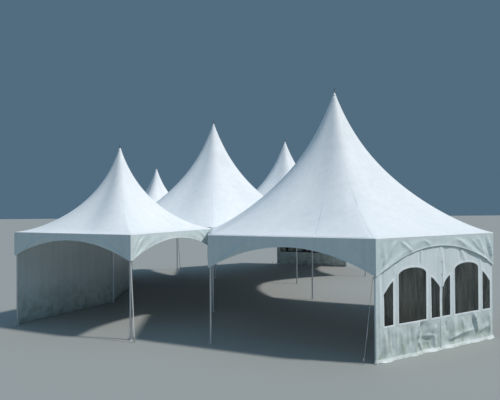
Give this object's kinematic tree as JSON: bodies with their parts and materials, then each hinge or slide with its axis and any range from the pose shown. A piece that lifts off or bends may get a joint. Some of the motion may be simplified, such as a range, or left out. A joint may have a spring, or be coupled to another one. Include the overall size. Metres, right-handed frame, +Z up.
{
  "type": "frame marquee of five linked bays",
  "caption": "Frame marquee of hexagonal and square bays joined side to side under peaked white covers, with arched valances, window walls and solid walls on some sides.",
  "frame": {"origin": "on the ground under the middle of the whole outline", "axes": "+Z up; +X along the mirror plane, from the solid walled side to the open side; +Y along the row of large bays, away from the picture side"},
  "size_m": [13.162, 21.15, 6.9966],
  "materials": {
    "aluminium_frame": "mill finish round tube and cast fittings",
    "cover_cloth": "white coated cloth, smooth and slightly glossy",
    "valance_cloth": "white coated cloth, hung with soft folds",
    "wall_cloth": "white coated cloth, thin and creased",
    "clear_vinyl": "clear flexible sheet",
    "webbing": "pale woven strap"
  },
  "bodies": {
    "root": {"cover_back_left": "cover_cloth", "cover_back_right": "cover_cloth", "cover_centre": "cover_cloth", "cover_front_left": "cover_cloth", "cover_front_right": "cover_cloth", "eave_frame_back_left": "aluminium_frame", "eave_frame_back_right": "aluminium_frame", "eave_frame_centre": "aluminium_frame", "eave_frame_front_left": "aluminium_frame", "eave_frame_front_right": "aluminium_frame", "gutter_back": "cover_cloth", "gutter_front": "cover_cloth", "leg_back_left_1": "aluminium_frame", "leg_back_left_2": "aluminium_frame", "leg_back_right_1": "aluminium_frame", "leg_back_right_2": "aluminium_frame", "leg_back_right_3": "aluminium_frame", "leg_back_right_6": "aluminium_frame", "leg_centre_1": "aluminium_frame", "leg_centre_2": "aluminium_frame", "leg_centre_3": "aluminium_frame", "leg_centre_4": "aluminium_frame", "leg_centre_5": "aluminium_frame", "leg_centre_6": "aluminium_frame", "leg_front_left_2": "aluminium_frame", "leg_front_left_3": "aluminium_frame", "leg_front_right_1": "aluminium_frame", "leg_front_right_4": "aluminium_frame", "leg_front_right_5": "aluminium_frame", "leg_front_right_6": "aluminium_frame", "mast_back_left": "aluminium_frame", "mast_back_right": "aluminium_frame", "mast_centre": "aluminium_frame", "mast_front_left": "aluminium_frame", "mast_front_right": "aluminium_frame", "stay_back_left": "webbing", "stay_back_right": "webbing", "stay_front_left": "webbing", "stay_front_right": "webbing", "valance_back_left": "valance_cloth", "valance_back_right": "valance_cloth", "valance_centre_left": "valance_cloth", "valance_centre_right": "valance_cloth", "valance_front_left": "valance_cloth", "valance_front_right": "valance_cloth", "wall_back_left": "wall_cloth", "wall_centre": "wall_cloth", "wall_front_left": "wall_cloth", "window_sheet_back_right": "clear_vinyl", "window_sheet_front_right": "clear_vinyl", "window_wall_back_right": "wall_cloth", "window_wall_front_right": "wall_cloth"}
  },
  "joints": []
}
